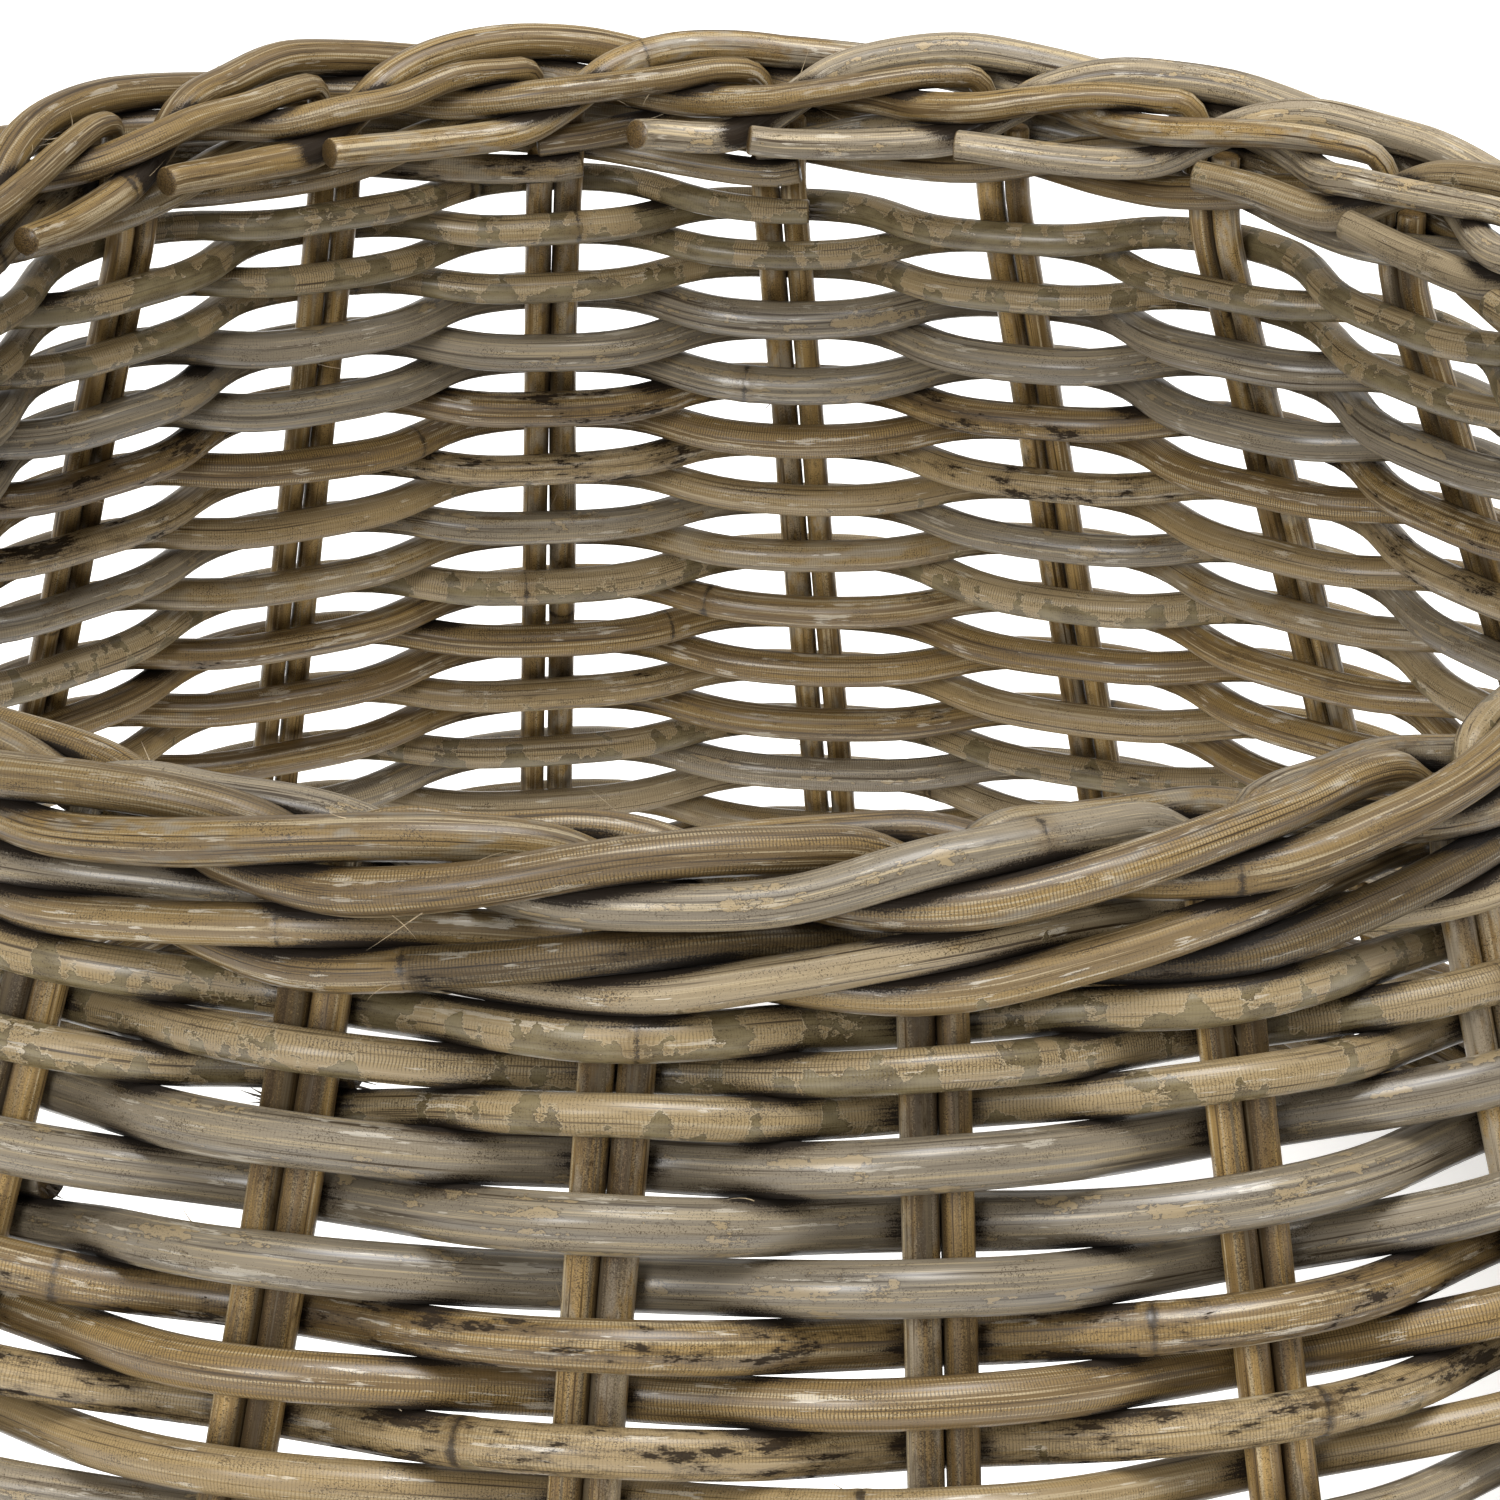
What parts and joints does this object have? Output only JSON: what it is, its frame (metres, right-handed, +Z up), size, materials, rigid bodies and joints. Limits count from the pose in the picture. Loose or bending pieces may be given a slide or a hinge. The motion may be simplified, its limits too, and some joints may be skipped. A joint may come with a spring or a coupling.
{
  "type": "christmas tree basket",
  "caption": "Round open-topped and open-bottomed basket with a flared woven wall, a rolled rod border and a three-rod band under it",
  "frame": {"origin": "centre of the foot ring, on the floor", "axes": "+Z up through the open top; +X towards stake pair 1; -Y is the side that the picture shows in front"},
  "size_m": [0.6244, 0.6244, 0.308],
  "materials": {
    "stake_rattan": "weathered, dry",
    "weaver_rattan": "weathered, dry",
    "wale_rattan": "weathered, dry",
    "border_rattan": "weathered, dry"
  },
  "bodies": {
    "root": {"stake_pair_01": "stake_rattan", "stake_pair_02": "stake_rattan", "stake_pair_03": "stake_rattan", "stake_pair_04": "stake_rattan", "stake_pair_05": "stake_rattan", "stake_pair_06": "stake_rattan", "stake_pair_07": "stake_rattan", "stake_pair_08": "stake_rattan", "stake_pair_09": "stake_rattan", "stake_pair_10": "stake_rattan", "stake_pair_11": "stake_rattan", "stake_pair_12": "stake_rattan", "stake_pair_13": "stake_rattan", "stake_pair_14": "stake_rattan", "stake_pair_15": "stake_rattan", "stake_pair_16": "stake_rattan", "stake_pair_17": "stake_rattan", "stake_pair_18": "stake_rattan", "stake_pair_19": "stake_rattan", "stake_pair_20": "stake_rattan", "stake_pair_21": "stake_rattan", "stake_pair_22": "stake_rattan", "stake_pair_23": "stake_rattan", "stake_pair_24": "stake_rattan", "weaver_a": "weaver_rattan", "weaver_b": "weaver_rattan", "top_wale_rod_1": "wale_rattan", "top_wale_rod_2": "wale_rattan", "top_wale_rod_3": "wale_rattan", "foot_wale_rod_1": "wale_rattan", "foot_wale_rod_2": "wale_rattan", "foot_wale_rod_3": "wale_rattan", "foot_rim_rod_1": "wale_rattan", "foot_rim_rod_2": "wale_rattan", "foot_rim_rod_3": "wale_rattan", "border_rod_01": "border_rattan", "border_rod_02": "border_rattan", "border_rod_03": "border_rattan", "border_rod_04": "border_rattan", "border_rod_05": "border_rattan", "border_rod_06": "border_rattan", "border_rod_07": "border_rattan", "border_rod_08": "border_rattan", "border_rod_09": "border_rattan", "border_rod_10": "border_rattan", "border_rod_11": "border_rattan", "border_rod_12": "border_rattan", "border_rod_13": "border_rattan", "border_rod_14": "border_rattan", "border_rod_15": "border_rattan", "border_rod_16": "border_rattan", "border_rod_17": "border_rattan", "border_rod_18": "border_rattan", "border_rod_19": "border_rattan", "border_rod_20": "border_rattan", "border_rod_21": "border_rattan", "border_rod_22": "border_rattan", "border_rod_23": "border_rattan", "border_rod_24": "border_rattan"}
  },
  "joints": []
}
